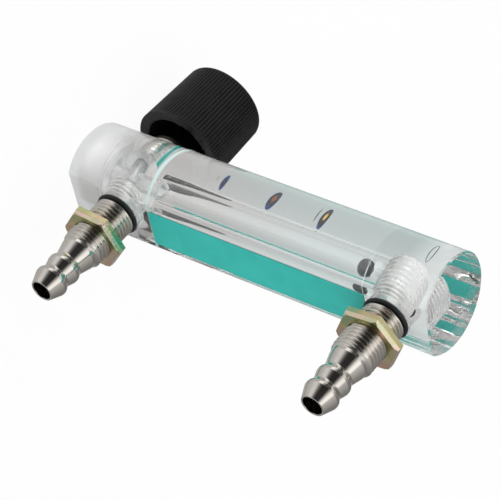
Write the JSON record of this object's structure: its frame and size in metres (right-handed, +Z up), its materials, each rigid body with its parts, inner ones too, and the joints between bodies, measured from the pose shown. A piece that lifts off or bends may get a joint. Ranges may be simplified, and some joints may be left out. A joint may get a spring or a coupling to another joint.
{
  "type": "oxygen flowmeter",
  "caption": "Panel-mount oxygen flowmeter: clear D-section metering tube with a float, black valve knob in front and barbed hose fittings behind.",
  "frame": {"origin": "centre of the tube's round section on its lower end face, the end with the valve", "axes": "+Z up the metering tube, +Y out of the back along the hose fittings, -Y out of the front along the knob"},
  "size_m": [0.0232, 0.0697, 0.0956],
  "materials": {
    "clear_acrylic": "polished clear acrylic",
    "clear_film": "thin clear film",
    "teal_print": "satin teal print",
    "dark_steel": "dark satin steel",
    "milky_acrylic": "milky translucent plastic",
    "black_rubber": "smooth black rubber",
    "white_silicone": "translucent silicone rubber",
    "nickel_plate": "bright nickel plate on brass",
    "yellow_zinc": "iridescent yellow zinc plate",
    "white_nylon": "natural nylon",
    "bright_steel": "turned stainless steel",
    "black_plastic": "moulded matt black plastic",
    "plain_brass": "turned brass"
  },
  "bodies": {
    "tube": {"metering_tube": "clear_acrylic", "scale_film": "clear_film", "colour_strip": "teal_print", "lower_float_stop": "clear_acrylic", "upper_float_stop": "clear_acrylic", "end_plug": "milky_acrylic", "end_plug_seal": "white_silicone", "lower_fitting": "nickel_plate", "lower_fitting_seal": "black_rubber", "upper_fitting": "nickel_plate", "upper_fitting_seal": "black_rubber", "valve_bonnet": "nickel_plate", "bonnet_seal": "black_rubber", "valve_seat": "white_nylon", "gland_nut": "nickel_plate"},
    "float": {"flow_float": "dark_steel"},
    "spindle_carrier": {"spindle_seal": "black_rubber"},
    "knob_set": {"needle_spindle": "bright_steel", "control_knob": "black_plastic", "knob_insert": "plain_brass"},
    "lower_nut": {"lower_panel_nut": "yellow_zinc"},
    "upper_nut": {"upper_panel_nut": "yellow_zinc"}
  },
  "joints": [
    {"name": "float_rise", "type": "slide", "parent": "tube", "child": "float", "axis": [0, 0, 1], "range_m": [-0.0513, 0.00045]},
    {"name": "spindle_travel", "type": "slide", "parent": "tube", "child": "spindle_carrier", "axis": [0, 1, 0], "range_m": [-0.00091, 0.00091]},
    {"name": "knob_turn", "type": "hinge", "parent": "spindle_carrier", "child": "knob_set", "pos_m": [0, -0.015, 0.01257], "axis": [0, 1, 0], "range_deg": [-540, 540]},
    {"name": "lower_nut_travel", "type": "slide", "parent": "tube", "child": "lower_nut", "axis": [0, 1, 0], "range_m": [-0.005, 0.0015]},
    {"name": "upper_nut_travel", "type": "slide", "parent": "tube", "child": "upper_nut", "axis": [0, 1, 0], "range_m": [-0.0035, 0.0035]}
  ],
  "couplings": [
    {"joint": "spindle_travel", "follows": "knob_turn", "m_per_rad": 0.000095493}
  ]
}
